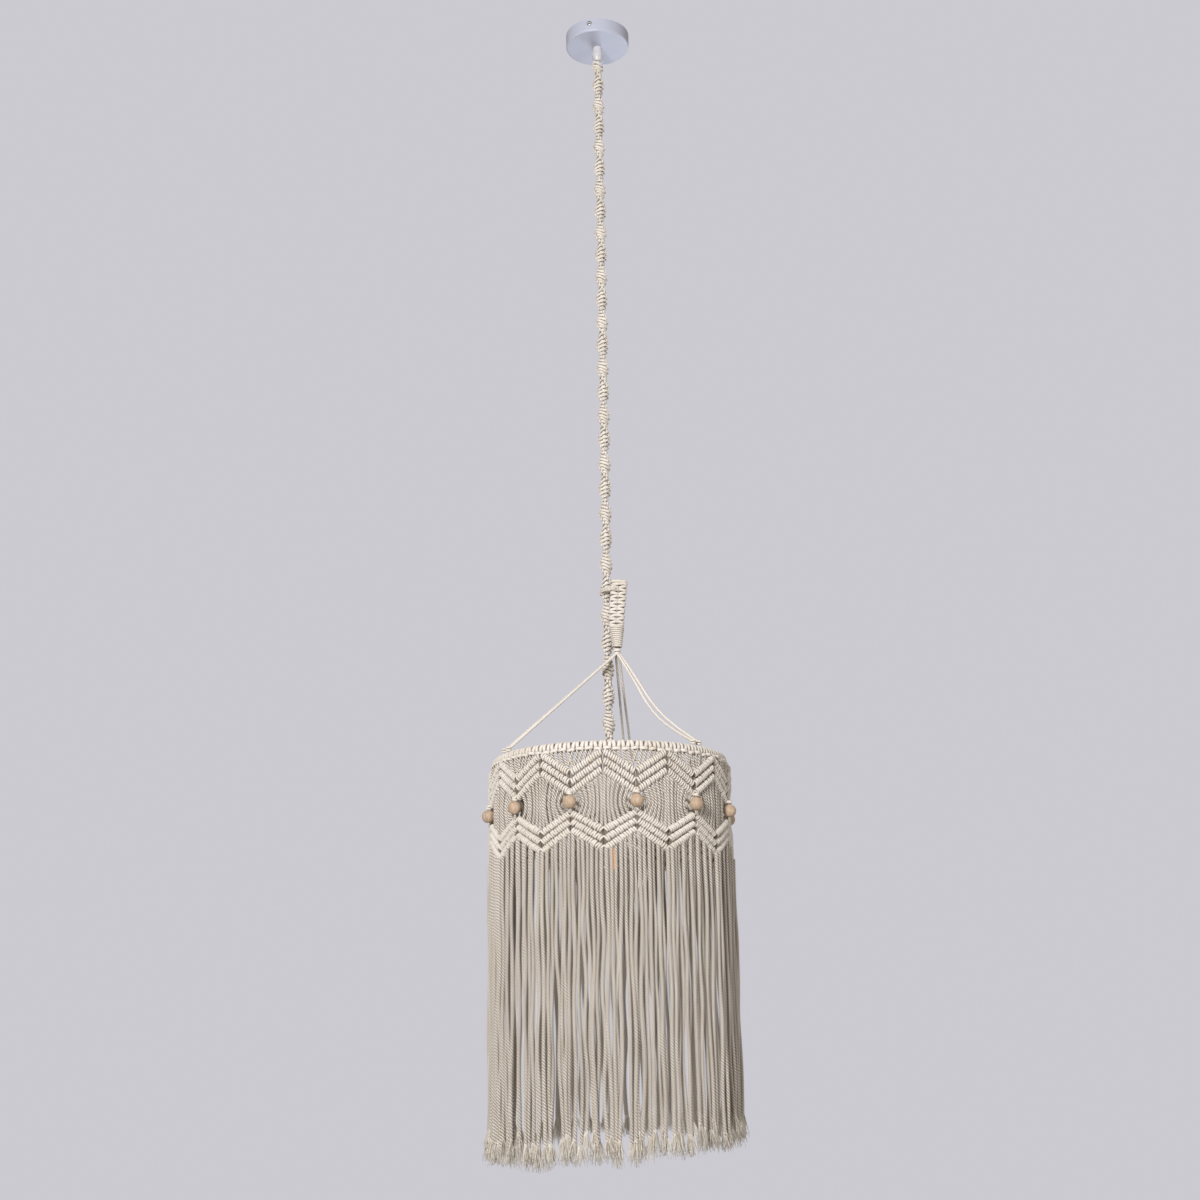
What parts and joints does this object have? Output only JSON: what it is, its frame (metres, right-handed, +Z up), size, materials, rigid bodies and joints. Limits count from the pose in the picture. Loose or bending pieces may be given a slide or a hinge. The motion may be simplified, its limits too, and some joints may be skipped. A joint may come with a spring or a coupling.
{
  "type": "macrame pendant lamp",
  "caption": "Pendant lamp with a knotted macrame shade on a hoop, wooden beads and long fringe, hung by cords beside a cord-covered flex from a shallow ceiling canopy.",
  "frame": {"origin": "on the ceiling, at the centre of the canopy's bracket", "axes": "+Z up into the ceiling, -Y towards the viewer, +X to the right"},
  "size_m": [0.3332, 0.3332, 1.593],
  "materials": {
    "cotton_cord": "undyed twisted cotton",
    "canopy_white": "satin white powder coat",
    "grip_white": "moulded, slight gloss",
    "zinc_steel": "bright zinc",
    "block_white": "moulded",
    "flex_sheath": "smooth sheath",
    "bead_wood": "raw turned beech",
    "holder_white": "moulded",
    "holder_ceramic": "unglazed",
    "cap_metal": "rolled",
    "bulb_clear": "clear",
    "filament_glow": "glowing filament"
  },
  "bodies": {
    "ceiling_fitting": {"ceiling_bracket": "zinc_steel", "canopy_cup": "canopy_white", "canopy_side_screws": "zinc_steel", "cord_grip_body": "grip_white", "cord_grip_nut": "grip_white", "cord_grip_bush": "flex_sheath", "cord_grip_locknut": "zinc_steel", "terminal_block": "block_white", "flex_cores": "flex_sheath", "flex_top": "flex_sheath"},
    "cord_top": {"cover_top_knot": "cotton_cord"},
    "hanging_cord": {"flex": "flex_sheath", "cord_cover": "cotton_cord", "hanging_loop": "cotton_cord", "loop_tie": "cotton_cord", "gathering_wrap": "cotton_cord", "lampholder_cap": "holder_white", "lampholder_body": "holder_white", "lampholder_insert": "holder_ceramic"},
    "holder_ring": {"lampholder_ring": "holder_white"},
    "bulb": {"bulb_cap": "cap_metal", "bulb_contact": "cap_metal", "bulb_glass": "bulb_clear", "bulb_stem": "bulb_clear", "bulb_filament": "filament_glow"},
    "shade_gather": {"gather_knot": "cotton_cord"},
    "shade": {"string_pair_left": "cotton_cord", "string_pair_back": "cotton_cord", "string_pair_right": "cotton_cord", "string_end_knots": "cotton_cord", "ring_hoop": "zinc_steel", "larks_head_row": "cotton_cord", "head_cords": "cotton_cord", "upper_chevron_band": "cotton_cord", "middle_cords": "cotton_cord", "lower_chevron_band": "cotton_cord", "wooden_bead_01": "bead_wood", "wooden_bead_02": "bead_wood", "wooden_bead_03": "bead_wood", "wooden_bead_04": "bead_wood", "wooden_bead_05": "bead_wood", "wooden_bead_06": "bead_wood", "wooden_bead_07": "bead_wood", "wooden_bead_08": "bead_wood", "wooden_bead_09": "bead_wood", "wooden_bead_10": "bead_wood", "wooden_bead_11": "bead_wood", "wooden_bead_12": "bead_wood", "fringe_01": "cotton_cord", "fringe_02": "cotton_cord", "fringe_03": "cotton_cord", "fringe_04": "cotton_cord", "fringe_05": "cotton_cord", "fringe_06": "cotton_cord", "fringe_07": "cotton_cord", "fringe_08": "cotton_cord", "fringe_09": "cotton_cord", "fringe_10": "cotton_cord", "fringe_11": "cotton_cord", "fringe_12": "cotton_cord"}
  },
  "joints": [
    {"name": "swing_front_back", "type": "hinge", "parent": "ceiling_fitting", "child": "cord_top", "pos_m": [0, 0, -0.0426], "axis": [1, 0, 0], "range_deg": [-15, 15]},
    {"name": "swing_side", "type": "hinge", "parent": "cord_top", "child": "hanging_cord", "pos_m": [0, 0, -0.0426], "axis": [0, 1, 0], "range_deg": [-15, 15]},
    {"name": "shade_tilt_front_back", "type": "hinge", "parent": "hanging_cord", "child": "shade_gather", "pos_m": [0.013, -0.012, -0.943], "axis": [1, 0, 0], "range_deg": [-10, 10]},
    {"name": "shade_tilt_side", "type": "hinge", "parent": "shade_gather", "child": "shade", "pos_m": [0.013, -0.012, -0.943], "axis": [0, 1, 0], "range_deg": [-10, 10]},
    {"name": "holder_ring_turn", "type": "hinge", "parent": "hanging_cord", "child": "holder_ring", "pos_m": [0, 0, -1.156], "axis": [0, 0, 1], "continuous": true},
    {"name": "bulb_turn", "type": "hinge", "parent": "hanging_cord", "child": "bulb", "pos_m": [0, 0, -1.157], "axis": [0, 0, 1], "continuous": true}
  ]
}
